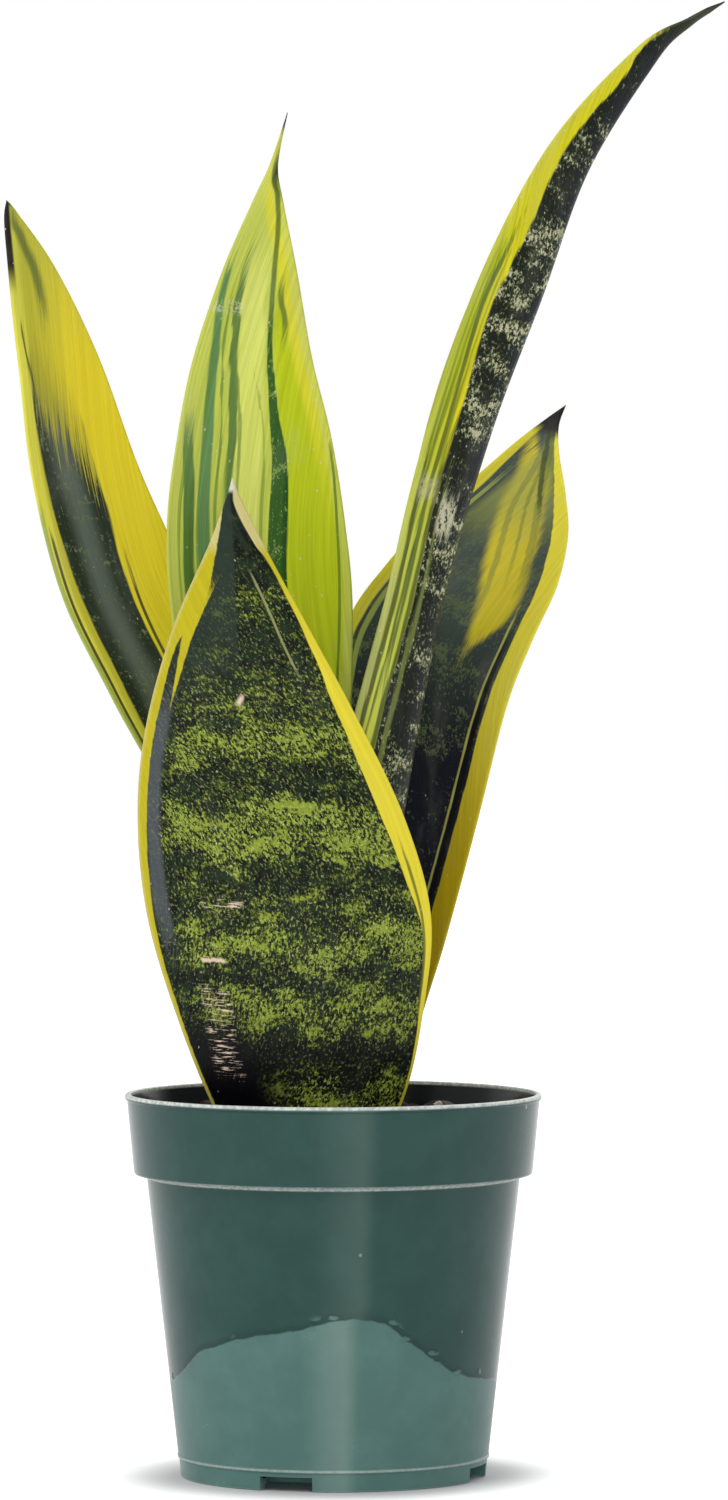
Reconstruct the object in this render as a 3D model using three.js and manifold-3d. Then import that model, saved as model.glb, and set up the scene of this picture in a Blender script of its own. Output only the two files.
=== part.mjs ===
// Potted snake plant: a thin-walled grower's pot, the root ball that fills it, and a variegated snake
// plant of five leaves on one buried rhizome. Millimetres, +Z up. The origin is on the pot's axis, on the
// surface that the pot stands on, and the plant's front faces -Y.
import * as THREE from "three";
import { mergeVertices } from "three/addons/utils/BufferGeometryUtils.js";
import Module from "manifold-3d";

// Pot
const potHeight = 99;
const rimRadius = 54; // outside of the lip
const lipHeight = 1.4;
const lipOverhang = 0.5; // how far the lip stands out from the band under it
const bandHeight = 20.4; // from the top of the lip down to the ledge
const bandDraft = 1.8; // how much narrower the band is at the ledge than under the lip
const ledgeWidth = 3.3; // how far the ledge steps in from the band to the body
const ledgeDrop = 1;
const wall = 1;
const bodyTaper = 8.1; // how much narrower the body is at its foot than under the ledge
const footHeight = 5.3; // up to the line where the body starts
const footStep = 0.6; // how far the body stands out from the foot at that line
const footRingWidth = 3.7;
const floorLift = 1.5; // the floor's underside above the surface, between the foot ring and the pad
const floorThickness = 1.2;
const padRadius = 12; // flat pad in the middle of the floor, which touches the surface
const notchCount = 4;
const notchAngle = -17.7; // degrees from the front to the nearest drain notch, towards +X
const notchWidth = 14;
const notchHeight = 3.6;
const notchDepth = 7.5; // inwards from the outside of the foot

// Root ball
const soilBelowRim = 7;
const soilRoughness = 1.3;
const clearance = 0.35; // between pieces that touch

// Rhizome, with heights measured from the soil line
const rhizomeRadius = 9;
const offshootRadius = 7;
const rhizomePath = [
  [-7.5, -25, -27],
  [-7, -18, -28],
  [-4, -2, -30],
  [4, 13, -31],
  [8, 23, -28],
];
const offshootPath = [
  [-3, 0, -30],
  [-10, 8, -30],
  [-17, 15, -29],
  [-20, 20, -27],
];

// Leaves. Each is a blade between two edges, which are lists of points from the base to the tip with
// heights measured from the soil line. Left and right are as seen from the middle of the plant. The bow is
// how far the blade's middle stands out behind the line between its edges, at the same places, and a fold
// under 2 gathers that bow into a crease.
const plantScale = 1; // size of the whole plant in its pot
const leafThickness = 2.6; // middle of a blade at half its length
const leafEdge = 0.9; // thickness along a blade's edges
const tipBlunting = 0.3; // size of the tip as a share of the ring below it
const leaves = {
  leaf_front: {
    color: 0x2f3c22,
    fold: 2,
    left: [
      [1, -19, -28], [17.5, -17, 5], [23.5, -20, 32], [25, -23, 55], [18, -26, 80],
      [5.5, -28, 106], [-6.5, -31, 128.5], [-17.5, -34, 149], [-23.5, -36, 161], [-25.5, -37, 166],
    ],
    right: [
      [-14, -19, -28], [-31, -17, 5], [-41.5, -19, 32], [-48, -21, 56], [-50, -24, 81],
      [-47.5, -27, 104], [-40.5, -30.5, 128.5], [-31.5, -34, 149], [-27, -36, 161], [-25.5, -37, 166],
    ],
    bow: [3, 5.5, 7, 7.5, 7.5, 6, 3.5, 1.5, 0.4, 0],
  },
  leaf_left: {
    color: 0xb8b03a,
    fold: 1.8,
    left: [
      [-22, 14, -28], [-27, 11, 15], [-33.5, 11, 49], [-44, 12, 83], [-58, 14, 110], [-71, 17, 136],
      [-79, 22, 167], [-82.5, 28, 195], [-85.5, 35, 220.5], [-87, 40, 235], [-86.5, 42, 240.5],
    ],
    right: [
      [-13, 16, -28], [-12, 15, 15], [-16, 17, 51], [-22, 19, 87], [-31, 22, 116], [-38.5, 26, 141],
      [-51, 31, 169], [-61.5, 36, 197.5], [-73.5, 40, 222.5], [-83.5, 41.5, 237], [-86.5, 42, 240.5],
    ],
    bow: [2, 3.5, 4.5, 5, 5, 5, 4.5, 3.5, 2, 0.6, 0],
  },
  leaf_middle: {
    color: 0xa9bc38,
    fold: 1.7,
    left: [
      [-12, 0, -28], [-22, 0, 15], [-28, 0, 49], [-36, -1, 93], [-42, -2, 132], [-43, -1, 155],
      [-40.5, 2, 177], [-36.5, 5, 197.5], [-29, 9, 220], [-21, 12, 238.5], [-16.5, 14, 248.5], [-12, 17, 262],
    ],
    right: [
      [-4, 0, -28], [-2, -1, 15], [1, -2, 49], [4, -4, 93], [5, -5, 132], [3, -4, 155],
      [-0.5, -1, 177], [-5.5, 2, 197.5], [-9.5, 6, 220], [-13, 10, 238], [-14.5, 13, 248.5], [-12, 17, 262],
    ],
    bow: [2, 4.5, 5.5, 6.5, 7, 6.5, 5.5, 4.5, 3, 1, 0.2, 0],
  },
  leaf_tall_right: {
    color: 0x7d8a35,
    fold: 1.4,
    left: [
      [-8, 7, -28], [-9.5, 9, 16], [-1, 10, 78], [13.5, 8, 135], [24.5, 4, 181],
      [38, -1, 218.5], [55, -8, 250.5], [77.5, -17, 276], [91, -23, 283.5], [100, -26, 287.5],
    ],
    right: [
      [-8, -8, -28], [-9.5, -12, 16], [-1, -15, 78], [13.5, -18, 135], [24.5, -21, 181],
      [38, -24, 218.5], [55, -26, 250.5], [77.5, -27, 276], [91, -26.5, 283], [100, -26, 287.5],
    ],
    bow: [11, 16, 17, 13, 15, 15.5, 11, 5.5, 1, 0],
  },
  leaf_right_back: {
    color: 0x39422f,
    fold: 1.9,
    left: [
      [1, 19, -29], [-1, 21, 14.5], [-3, 24, 47.5], [-2.5, 27, 80], [0.5, 32, 118], [5, 34, 132.5],
      [13.5, 36, 144], [24, 38, 155.5], [36, 41, 166], [48, 44, 176.5], [56.5, 46, 183], [61.5, 48, 186.5],
    ],
    right: [
      [11, 16, -29], [20, 15, 15], [29, 15, 46], [37, 16, 75], [45, 19, 106], [52, 21, 124],
      [58.5, 25, 138.5], [61.5, 30, 152], [61, 35, 163], [59.5, 40, 173.5], [59.5, 44, 181], [61.5, 48, 186.5],
    ],
    bow: [3, 5, 6, 6.5, 7, 7, 6, 5, 3.5, 1.5, 0.5, 0],
  },
};

// Fineness of the facets
const turnSteps = 64; // round the pot
const soilSteps = 40; // round the root ball
const bladeSteps = 7; // points across a blade
const spanSteps = 3; // rings between two of a blade's given places

const soilLine = potHeight - soilBelowRim;
const floorTop = floorLift + floorThickness;
const bandBottom = potHeight - bandHeight;
const bandTopRadius = rimRadius - lipOverhang;
const bandBottomRadius = bandTopRadius - bandDraft;
const bodyTopRadius = bandBottomRadius - ledgeWidth;
const bodyTop = bandBottom - ledgeDrop;
const bodyBottomRadius = bodyTopRadius - bodyTaper;
const footRadius = bodyBottomRadius - footStep; // outside of the foot where it meets the surface

const wasm = await Module();
wasm.setup();

// A closed geometry as a solid for cutting and joining.
function solid(geometry) {
  const bare = geometry.clone();
  bare.deleteAttribute("normal");
  bare.deleteAttribute("uv");
  const merged = mergeVertices(bare, 1e-4);
  return new wasm.Manifold(
    new wasm.Mesh({
      numProp: 3,
      vertProperties: merged.attributes.position.array,
      triVerts: new Uint32Array(merged.index.array),
    }),
  );
}

// A solid as a named mesh with its own material.
function piece(name, body, color, roughness) {
  const { vertProperties, triVerts } = body.getMesh();
  const geometry = new THREE.BufferGeometry();
  geometry.setAttribute("position", new THREE.BufferAttribute(vertProperties, 3));
  geometry.setIndex(new THREE.BufferAttribute(triVerts, 1));
  geometry.computeVertexNormals();
  const material = new THREE.MeshStandardMaterial({ color, roughness, metalness: 0 });
  const mesh = new THREE.Mesh(geometry, material);
  mesh.name = name;
  return mesh;
}

// A turned body from a profile of [radius, height] points that runs from the axis below, round the
// outside, to the axis above.
function turned(profile, steps) {
  const points = profile.map(([r, z]) => new THREE.Vector2(r, z));
  return new THREE.LatheGeometry(points, steps).rotateX(Math.PI / 2);
}

// A closed skin over rings of points, with a fan over each end.
function loft(rings) {
  const around = rings[0].length;
  const positions = rings.flat().flatMap((p) => [p.x, p.y, p.z]);
  const index = [];
  const lastRing = rings.length - 1;
  for (let i = 0; i < lastRing; i++) {
    for (let j = 0; j < around; j++) {
      const a = i * around + j;
      const b = i * around + ((j + 1) % around);
      index.push(a, b, b + around, a, b + around, a + around);
    }
  }
  for (const [ring, flip] of [[0, true], [lastRing, false]]) {
    const centre = rings[ring].reduce((sum, p) => sum.clone().add(p), new THREE.Vector3());
    centre.divideScalar(around);
    const hub = positions.length / 3;
    positions.push(centre.x, centre.y, centre.z);
    for (let j = 0; j < around; j++) {
      const a = ring * around + j;
      const b = ring * around + ((j + 1) % around);
      index.push(hub, flip ? b : a, flip ? a : b);
    }
  }
  const geometry = new THREE.BufferGeometry();
  geometry.setAttribute("position", new THREE.Float32BufferAttribute(positions, 3));
  geometry.setIndex(index);
  return geometry;
}

// The pot: one moulding with a band under its lip, a ledge, a tapered body and a stepped foot.
function makePot() {
  const body = solid(
    turned(
      [
        [0, 0],
        [padRadius, 0],
        [padRadius + floorLift, floorLift],
        [footRadius - footRingWidth - floorLift / 2, floorLift],
        [footRadius - footRingWidth, 0],
        [footRadius, 0],
        [footRadius + 0.3, footHeight - 0.4],
        [bodyBottomRadius, footHeight],
        [bodyTopRadius, bodyTop],
        [bandBottomRadius, bandBottom],
        [bandTopRadius, potHeight - lipHeight],
        [rimRadius, potHeight - lipHeight],
        [rimRadius, potHeight - 0.4],
        [rimRadius - 0.4, potHeight],
        [bandTopRadius - wall, potHeight],
        [bandBottomRadius - wall, bandBottom + wall],
        [bodyTopRadius - wall, bodyTop + wall],
        [bodyBottomRadius - wall, footHeight + wall],
        [bodyBottomRadius - wall - 1.5, floorTop],
        [padRadius + floorThickness, floorTop],
        [padRadius, floorThickness],
        [0, floorThickness],
      ],
      turnSteps,
    ),
  );
  let pot = body;
  for (let i = 0; i < notchCount; i++) {
    const below = 1;
    const beyond = 2;
    const cutter = new THREE.BoxGeometry(notchWidth, notchDepth + beyond, notchHeight + below);
    cutter.translate(0, -footRadius + (notchDepth - beyond) / 2, (notchHeight - below) / 2);
    cutter.rotateZ(THREE.MathUtils.degToRad(notchAngle + (i * 360) / notchCount));
    pot = pot.subtract(solid(cutter));
  }
  return pot;
}

// The height of the soil's crumbled top at a place, from the soil line.
function soilHeight(x, y) {
  const swell = Math.sin(x * 0.11 + 0.8) * Math.cos(y * 0.13 - 0.4);
  const clods = Math.sin(x * 0.43 + y * 0.19) * Math.sin(y * 0.37 - x * 0.23 + 1.1);
  return soilRoughness * (0.6 * swell + 0.5 * clods);
}

// The root ball before the plant is let into it: it fills the pot, with a crumbled top.
function makeRootBall() {
  const topRadius = bandBottomRadius + (bandDraft * (soilLine - bandBottom)) / bandHeight - wall - clearance;
  const profile = [
    [0, floorTop + clearance],
    [bodyBottomRadius - wall - 1.5 - clearance, floorTop + clearance],
    [bodyBottomRadius - wall - clearance, footHeight + wall + clearance],
    [bodyTopRadius - wall - clearance, bodyTop + wall + clearance],
    [bandBottomRadius - wall - clearance, bandBottom + wall + clearance],
  ];
  const topRings = 7;
  for (let i = 0; i < topRings; i++) profile.push([topRadius * (1 - i / topRings), soilLine]);
  profile.push([0, soilLine]);
  const geometry = turned(profile, soilSteps);
  const position = geometry.attributes.position;
  for (let i = 0; i < position.count; i++) {
    if (Math.abs(position.getZ(i) - soilLine) > 1e-3) continue;
    const lift = soilHeight(position.getX(i), position.getY(i));
    position.setZ(i, soilLine + lift);
  }
  return solid(geometry);
}

// A point of the plant, from its place relative to the soil line on the pot's axis.
function plantPoint([x, y, height]) {
  return new THREE.Vector3(x, y, height).multiplyScalar(plantScale).setZ(soilLine + height * plantScale);
}

// A round stem along a path, ringed by old leaf scars and rounded at both ends, grown all over by a margin.
function stem(path, radius, margin) {
  const curve = new THREE.CatmullRomCurve3(path.map(plantPoint));
  const steps = 12;
  const sides = 12;
  const frames = curve.computeFrenetFrames(steps, false);
  const rings = [];
  for (let i = 0; i <= steps; i++) {
    const along = i / steps;
    const rounding = Math.sqrt(1 - Math.pow(Math.abs(2 * along - 1), 6) * 0.85);
    const scars = 1 + 0.03 * (i % 2);
    const centre = curve.getPointAt(along);
    if (i === 0) centre.addScaledVector(frames.tangents[i], -margin);
    if (i === steps) centre.addScaledVector(frames.tangents[i], margin);
    rings.push(
      Array.from({ length: sides }, (_, j) => {
        const angle = (2 * Math.PI * j) / sides;
        const out = frames.normals[i].clone().multiplyScalar(Math.cos(angle));
        out.addScaledVector(frames.binormals[i], Math.sin(angle));
        return centre.clone().addScaledVector(out, radius * rounding * scars + margin);
      }),
    );
  }
  return solid(loft(rings));
}

// The rhizome: a creeping stem with one offshoot. A margin makes the room that its neighbours leave it.
function makeRhizome(margin) {
  return stem(rhizomePath, rhizomeRadius, margin).add(stem(offshootPath, offshootRadius, margin));
}

// A value between the given places of a list of numbers or vectors, on a smooth curve through them.
function between(list, place) {
  const i = Math.min(Math.floor(place), list.length - 2);
  const t = place - i;
  const [a, b, c, d] = [i - 1, i, i + 1, i + 2].map((k) => list[THREE.MathUtils.clamp(k, 0, list.length - 1)]);
  const blend = (p, q, r, s) =>
    0.5 * (2 * q + (r - p) * t + (2 * p - 5 * q + 4 * r - s) * t * t + (3 * q - p - 3 * r + s) * t * t * t);
  if (typeof a === "number") return blend(a, b, c, d);
  return new THREE.Vector3(blend(a.x, b.x, c.x, d.x), blend(a.y, b.y, c.y, d.y), blend(a.z, b.z, c.z, d.z));
}

// One leaf's blade, before its base is fitted to the rhizome. A margin makes the room that the soil
// leaves it.
function makeBlade({ left, right, bow, fold }, margin) {
  const leftEdge = left.map(plantPoint);
  const rightEdge = right.map(plantPoint);
  const places = left.length - 1;
  const count = places * spanSteps;
  // Points across the blade from -1 to 1, closer together towards its edges.
  const stops = Array.from({ length: bladeSteps }, (_, j) => Math.sin((j / (bladeSteps - 1) - 0.5) * Math.PI));
  const rings = [];
  for (let i = 0; i < count; i++) {
    const place = i / spanSteps;
    const along = i / count;
    const a = between(leftEdge, place);
    const b = between(rightEdge, place);
    const ahead = between(leftEdge, Math.min(place + 0.1, places)).add(
      between(rightEdge, Math.min(place + 0.1, places)),
    );
    const rise = ahead.sub(a).sub(b).normalize();
    const across = b.clone().sub(a);
    const width = across.length();
    across.normalize();
    const outward = rise.clone().cross(across).normalize();
    const half = width / 2;
    const reach = 1 + margin / half;
    const middle = a.clone().add(b).multiplyScalar(0.5);
    if (i === 0) middle.addScaledVector(rise, -margin);
    const depth = between(bow, place) * plantScale;
    // Thick and clasping at the base, thinning upwards, and as round as a spine at the tip.
    const full = Math.min(leafThickness * (1.9 - 1.7 * along + 0.35 * along * along), width * 0.8 + 0.3);
    const edge = Math.min(leafEdge, full);
    const at = (v) => {
      const bend = depth * (1 - Math.pow(Math.abs(v), fold));
      return middle.clone().addScaledVector(across, half * v).addScaledVector(outward, bend);
    };
    const face = (v, side) => {
      const slope = v === 0 ? 0 : (-depth * fold * Math.pow(Math.abs(v), fold - 1) * Math.sign(v)) / half;
      const normal = outward.clone().addScaledVector(across, -slope).normalize();
      const share = v / reach;
      const thickness = edge + (full - edge) * (1 - share * share) + 2 * margin;
      return at(v).addScaledVector(normal, (side * thickness) / 2);
    };
    const inside = stops.map((v) => face(v * reach, -1));
    const outside = stops.map((v) => face(v * reach, 1));
    rings.push([...inside, ...outside.reverse()]);
  }
  const tip = between(leftEdge, places);
  const lastRing = rings[rings.length - 1];
  rings.push(lastRing.map((p) => p.clone().sub(tip).multiplyScalar(tipBlunting).add(tip)));
  return solid(loft(rings));
}

const group = new THREE.Group();
group.add(piece("nursery_pot", makePot(), 0x3f5f59, 0.35));

const rhizomeRoom = makeRhizome(clearance);
let rootBall = makeRootBall().subtract(rhizomeRoom);
for (const [name, leaf] of Object.entries(leaves)) {
  rootBall = rootBall.subtract(makeBlade(leaf, clearance));
  group.add(piece(name, makeBlade(leaf, 0).subtract(rhizomeRoom), leaf.color, 0.4));
}
group.add(piece("potting_soil", rootBall, 0x2c261f, 0.95));
group.add(piece("rhizome", makeRhizome(0), 0xc9a35a, 0.7));

export default group;
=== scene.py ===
import functools
import math

import bmesh
import bpy
import numpy as np
from mathutils import Euler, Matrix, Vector, noise


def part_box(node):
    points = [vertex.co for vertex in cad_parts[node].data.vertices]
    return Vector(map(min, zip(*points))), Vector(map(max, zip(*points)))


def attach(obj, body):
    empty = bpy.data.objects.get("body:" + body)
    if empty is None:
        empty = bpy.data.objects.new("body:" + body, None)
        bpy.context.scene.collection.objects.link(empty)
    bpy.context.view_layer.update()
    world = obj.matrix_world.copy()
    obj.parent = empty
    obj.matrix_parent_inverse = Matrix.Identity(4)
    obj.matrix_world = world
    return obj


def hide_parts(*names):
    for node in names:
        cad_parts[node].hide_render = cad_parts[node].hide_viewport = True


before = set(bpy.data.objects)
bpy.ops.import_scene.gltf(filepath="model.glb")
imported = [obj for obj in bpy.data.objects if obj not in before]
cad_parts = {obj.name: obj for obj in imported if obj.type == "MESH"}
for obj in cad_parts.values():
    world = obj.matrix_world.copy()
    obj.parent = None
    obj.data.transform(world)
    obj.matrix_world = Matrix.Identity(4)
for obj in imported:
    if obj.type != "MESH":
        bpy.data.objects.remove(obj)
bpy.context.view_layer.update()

MM = 0.001

# ------------------------------------------------------------
# Nursery pot
# One injection moulding of dark green polypropylene, a millimetre thick: a band with a rolled lip,
# a ledge, a tapered body and a stepped foot, with drain notches cut through the foot's corner.
# ------------------------------------------------------------
pot_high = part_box("nursery_pot")[1]
rim_radius = pot_high.x / MM
pot_height = pot_high.z / MM
lip_height = 1.4
lip_overhang = 0.5
band_height = 20.4
band_draft = 1.8
ledge_width = 3.3
ledge_drop = 1.0
pot_wall = 1.0
body_taper = 8.1
foot_height = 5.3
foot_step = 0.6
foot_ring_width = 3.7
floor_lift = 1.5
floor_thickness = 1.2
pad_radius = 12.0
pot_steps = 256
notch_count = 4
notch_angle = -17.7
notch_width = 14.0
notch_height = 3.6
notch_depth = 7.5
band_bottom = pot_height - band_height
band_top_radius = rim_radius - lip_overhang
band_bottom_radius = band_top_radius - band_draft
body_top_radius = band_bottom_radius - ledge_width
body_top = band_bottom - ledge_drop
body_bottom_radius = body_top_radius - body_taper
foot_radius = body_bottom_radius - foot_step
floor_top = floor_lift + floor_thickness


def rounded(corners):
    """A profile of (radius, height, rounding) corners with each corner turned into an arc."""
    steps = 5
    points = []
    last = len(corners) - 1
    for i, (r, z, rounding) in enumerate(corners):
        here = Vector((r, z))
        if rounding == 0 or i in (0, last):
            points.append(here)
            continue
        back = Vector(corners[i - 1][:2]) - here
        ahead = Vector(corners[i + 1][:2]) - here
        reach = min(rounding, back.length * 0.45, ahead.length * 0.45)
        start = here + back.normalized() * reach
        end = here + ahead.normalized() * reach
        for j in range(steps + 1):
            t = j / steps
            points.append((1 - t) ** 2 * start + 2 * t * (1 - t) * here + t * t * end)
    return points


def placed(name, data):
    """An object in the scene that holds some data, or the faces of a bmesh."""
    if isinstance(data, bmesh.types.BMesh):
        mesh = data
        data = bpy.data.meshes.new(name)
        mesh.to_mesh(data)
        mesh.free()
    made = bpy.data.objects.new(name, data)
    bpy.context.scene.collection.objects.link(made)
    return made


def turned(name, profile, turns):
    """A mesh object turned round the Z axis from (radius, height) points, in millimetres."""
    mesh = bmesh.new()
    angles = [2 * math.pi * i / turns for i in range(turns)]
    rings = []
    for r, z in profile:
        if r < 1e-6:
            rings.append([mesh.verts.new((0, 0, z * MM))])
        else:
            rings.append(
                [mesh.verts.new((r * MM * math.sin(a), -r * MM * math.cos(a), z * MM)) for a in angles],
            )
    for low, high in zip(rings, rings[1:]):
        for i in range(turns):
            j = (i + 1) % turns
            if len(low) == 1:
                mesh.faces.new((low[0], high[j], high[i]))
            elif len(high) == 1:
                mesh.faces.new((low[i], low[j], high[0]))
            else:
                mesh.faces.new((low[i], low[j], high[j], high[i]))
    bmesh.ops.recalc_face_normals(mesh, faces=mesh.faces)
    return placed(name, mesh)


def smooth(piece, angle=35):
    piece.data.shade_smooth()
    piece.data.set_sharp_from_angle(angle=math.radians(angle))


def join(output, socket):
    output.id_data.links.new(output, socket)


def node(kind, inputs=None, tree=None, **settings):
    """A shader node with its settings made and its inputs, given by name or number, set or linked.

    Without a tree it goes where the first socket among its inputs is.
    """
    inputs = inputs or {}
    tree = tree or next(value.id_data for value in inputs.values() if isinstance(value, bpy.types.NodeSocket))
    made = tree.nodes.new(kind)
    for key, value in settings.items():
        setattr(made, key, value)
    for key, value in inputs.items():
        if isinstance(value, bpy.types.NodeSocket):
            join(value, made.inputs[key])
        else:
            made.inputs[key].default_value = value
    return made


def calc(operation, *values, clamp=False):
    """The result of a maths node on some values."""
    return node("ShaderNodeMath", dict(enumerate(values)), operation=operation, use_clamp=clamp).outputs[0]


def times(*values):
    """The product of some values."""
    return functools.reduce(lambda first, second: calc("MULTIPLY", first, second), values)


def most(*values):
    """The largest of some values."""
    return functools.reduce(lambda first, second: calc("MAXIMUM", first, second), values)


def plus(first, second):
    return calc("ADD", first, second)


def less(first, second):
    return calc("SUBTRACT", first, second)


def scaled(value, factor, added):
    """A value times a factor, with something added."""
    return calc("MULTIPLY_ADD", value, factor, added)


def ramp(value, low, high, to_low=0.0, to_high=1.0, kind="SMOOTHSTEP"):
    """A value mapped from one range to another, eased at both ends unless the kind says otherwise."""
    inputs = {"Value": value, "From Min": low, "From Max": high, "To Min": to_low, "To Max": to_high}
    return node("ShaderNodeMapRange", inputs, interpolation_type=kind, clamp=True).outputs["Result"]


def mix(amount, first, second, blend="MIX"):
    """Two colours mixed by an amount."""
    factor, colour_one, colour_two, result = 0, 6, 7, 2
    inputs = {factor: amount, colour_one: first, colour_two: second}
    return node("ShaderNodeMix", inputs, data_type="RGBA", blend_type=blend).outputs[result]


def tinted(colour, mask, share, shade):
    """A colour with a shade laid over it where a mask says, at a share of its full strength."""
    return mix(times(mask, share) if share < 1 else mask, colour, paint(*shade))


def grain(vector, scale=1.0, detail=3.0, roughness=0.55, stretch=None):
    """A noise value, stretched along the axes where a stretch is given."""
    if stretch:
        vector = node("ShaderNodeMapping", {"Vector": vector, "Scale": stretch}).outputs[0]
    inputs = {"Vector": vector, "Scale": scale, "Detail": detail, "Roughness": roughness}
    return node("ShaderNodeTexNoise", inputs, noise_dimensions="3D").outputs[0]


def curve(value, points):
    """A value read off a curve drawn through (input, output) points, both from 0 to 1."""
    made = node("ShaderNodeFloatCurve", {"Value": value})
    line = made.mapping.curves[0]
    for _ in points[2:]:
        line.points.new(0.5, 0.5)
    for place, point in zip(line.points, sorted(points)):
        place.location = point
    made.mapping.update()
    return made.outputs[0]


def paint(r, g, b):
    """A linear colour from the 0 to 255 values that a paint chart gives."""
    def linear(c):
        c = c / 255
        return c / 12.92 if c <= 0.04045 else ((c + 0.055) / 1.055) ** 2.4

    return (linear(r), linear(g), linear(b), 1.0)


def new_material(name, marks=None):
    """A new material, the places or the marks of the points that it covers, and its surface shader."""
    material = bpy.data.materials.new(name)
    material.use_nodes = True
    tree = material.node_tree
    if marks:
        place = node("ShaderNodeAttribute", tree=tree, attribute_name=marks).outputs["Vector"]
    else:
        place = node("ShaderNodeTexCoord", tree=tree).outputs["Object"]
    return material, place, tree.nodes["Principled BSDF"]


def finished(surface, colour, roughness, relief=None, strength=0.5):
    """Joins a colour, a roughness and a relief of up to a millimetre to a surface shader."""
    join(colour, surface.inputs["Base Color"])
    join(roughness, surface.inputs["Roughness"])
    if relief is not None:
        bump = node("ShaderNodeBump", {"Height": relief, "Distance": MM, "Strength": strength})
        join(bump.outputs[0], surface.inputs["Normal"])


def new_group(name, values, masks):
    """An empty shader group that takes a place and some named values and gives named masks."""
    group = bpy.data.node_groups.new(name, "ShaderNodeTree")
    group.interface.new_socket("Place", in_out="INPUT", socket_type="NodeSocketVector")
    for title in values:
        group.interface.new_socket(title, in_out="INPUT", socket_type="NodeSocketFloat")
    for title in masks:
        group.interface.new_socket(title, in_out="OUTPUT", socket_type="NodeSocketFloat")
    return group, group.nodes.new("NodeGroupInput").outputs, group.nodes.new("NodeGroupOutput").inputs


def use_group(group, **inputs):
    """Places a group in a material. Underscores in the input names stand for spaces."""
    inputs = {key.replace("_", " "): value for key, value in inputs.items()}
    return node("ShaderNodeGroup", inputs, node_tree=group).outputs


pot = turned(
    "pot",
    rounded(
        [
            (0, 0, 0),
            (pad_radius, 0, 0.4),
            (pad_radius + floor_lift, floor_lift, 0.5),
            (foot_radius - foot_ring_width - floor_lift / 2, floor_lift, 0.5),
            (foot_radius - foot_ring_width, 0, 0.3),
            (foot_radius - 0.1, 0, 0.35),
            (foot_radius + 0.25, foot_height - 0.75, 0.1),
            (body_bottom_radius + 0.12, foot_height - 0.45, 0.25),
            (body_bottom_radius + 0.15, foot_height + 0.1, 0.25),
            (body_bottom_radius - 0.02, foot_height + 0.45, 0.2),
            (body_top_radius, body_top - 0.1, 0.25),
            (body_top_radius + 0.25, body_top + 0.1, 0.2),
            (band_bottom_radius - 0.15, band_bottom - 0.25, 0.35),
            (band_bottom_radius, band_bottom + 0.3, 0.5),
            (band_top_radius, pot_height - lip_height - 0.2, 0.15),
            (rim_radius, pot_height - lip_height, 0.3),
            (rim_radius, pot_height - 0.02, 0.6),
            (rim_radius - lip_overhang - pot_wall, pot_height, 0.45),
            (band_bottom_radius - pot_wall, band_bottom + pot_wall, 0.8),
            (body_top_radius - pot_wall, body_top + pot_wall, 0.8),
            (body_bottom_radius - pot_wall, foot_height + pot_wall, 1.0),
            (body_bottom_radius - pot_wall - 1.5, floor_top, 1.0),
            (pad_radius + floor_thickness, floor_top, 0.6),
            (pad_radius, floor_thickness, 0.6),
            (0, floor_thickness, 0),
        ]
    ),
    pot_steps,
)
notches = bmesh.new()
for i in range(notch_count):
    below = 1.0
    beyond = 2.0
    turn = math.radians(notch_angle + i * 360 / notch_count)
    middle = foot_radius - (notch_depth - beyond) / 2
    made = bmesh.ops.create_cube(notches, size=MM)["verts"]
    for corner in made:
        x = corner.co.x * notch_width
        y = corner.co.y * (notch_depth + beyond) - middle * MM
        z = corner.co.z * (notch_height + below) + (notch_height - below) / 2 * MM
        corner.co = (x * math.cos(turn) - y * math.sin(turn), x * math.sin(turn) + y * math.cos(turn), z)
notch_cutter = placed("notch_cutter", notches)
cut = pot.modifiers.new("notches", "BOOLEAN")
cut.operation = "DIFFERENCE"
cut.solver = "EXACT"
cut.object = notch_cutter
with bpy.context.temp_override(object=pot, active_object=pot, selected_objects=[pot]):
    bpy.ops.object.modifier_apply(modifier=cut.name)
bpy.data.objects.remove(notch_cutter)
smooth(pot, 30)

# The plastic is dark and glossy above a pale line, and paler and hazed below it, with a darker band and small
# blisters just above the line.
pot_plastic, place, plastic = new_material("pot_plastic")
xyz = node("ShaderNodeSeparateXYZ", {"Vector": place}).outputs
height = calc("DIVIDE", xyz["Z"], MM)
azimuth = calc("ARCTAN2", xyz["X"], times(xyz["Y"], -1.0))
way_round = scaled(azimuth, 0.5 / math.pi, 0.5)
haze_line = curve(
    way_round,
    [
        (0, 0.42), (0.12, 0.45), (0.25, 0.47), (0.383, 0.74), (0.47, 0.84), (0.52, 0.885),
        (0.574, 0.76), (0.608, 0.64), (0.636, 0.575), (0.75, 0.5), (0.88, 0.44), (1, 0.42),
    ],
)
tide = grain(place, 230, detail=4)
coarse_tide = grain(place, 60, detail=2)
line_height = scaled(tide, 1.6, scaled(coarse_tide, 2.4, scaled(haze_line, 50.0, -1.8)))
below_line = less(line_height, height)
haze = ramp(below_line, 0.0, 0.6)
squat = node("ShaderNodeMapping", {"Vector": place, "Scale": (1, 1, 2.1)}).outputs[0]
blister = node(
    "ShaderNodeTexVoronoi", {"Vector": squat, "Scale": 165.0, "Randomness": 0.8},
).outputs["Distance"]
above_line = times(ramp(below_line, -3.2, -1.2), ramp(below_line, 2.5, 0.3))
blisters = times(ramp(blister, 0.36, 0.2), above_line, ramp(coarse_tide, 0.43, 0.5))
haze = most(haze, times(blisters, 0.8))
mottle = grain(place, 90, detail=5, roughness=0.65)
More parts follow.
